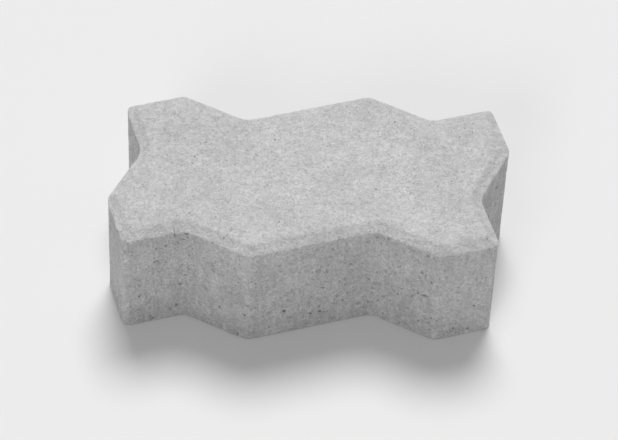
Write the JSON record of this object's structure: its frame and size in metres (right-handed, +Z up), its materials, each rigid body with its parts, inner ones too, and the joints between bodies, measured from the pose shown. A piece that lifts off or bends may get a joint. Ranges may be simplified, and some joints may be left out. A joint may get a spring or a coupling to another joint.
{
  "type": "concrete paving stone",
  "caption": "Zigzag interlocking paving stone of pressed grey concrete, whose wavy sides mesh with the stones laid beside it to make a path or yard surface.",
  "frame": {"origin": "centre of the flat bed face, which is also the centre of the pitch rectangle, on the surface that the stone lies on", "axes": "+Z up, out of the worn top face; +X along the stone; +Y across it; laid stones repeat every 225 mm along X and every 112.5 mm along Y"},
  "size_m": [0.2406, 0.128, 0.08],
  "materials": {
    "concrete": "pressed grey concrete, fine sandy grain, matt"
  },
  "bodies": {
    "root": {"paving_stone": "concrete"}
  },
  "joints": []
}
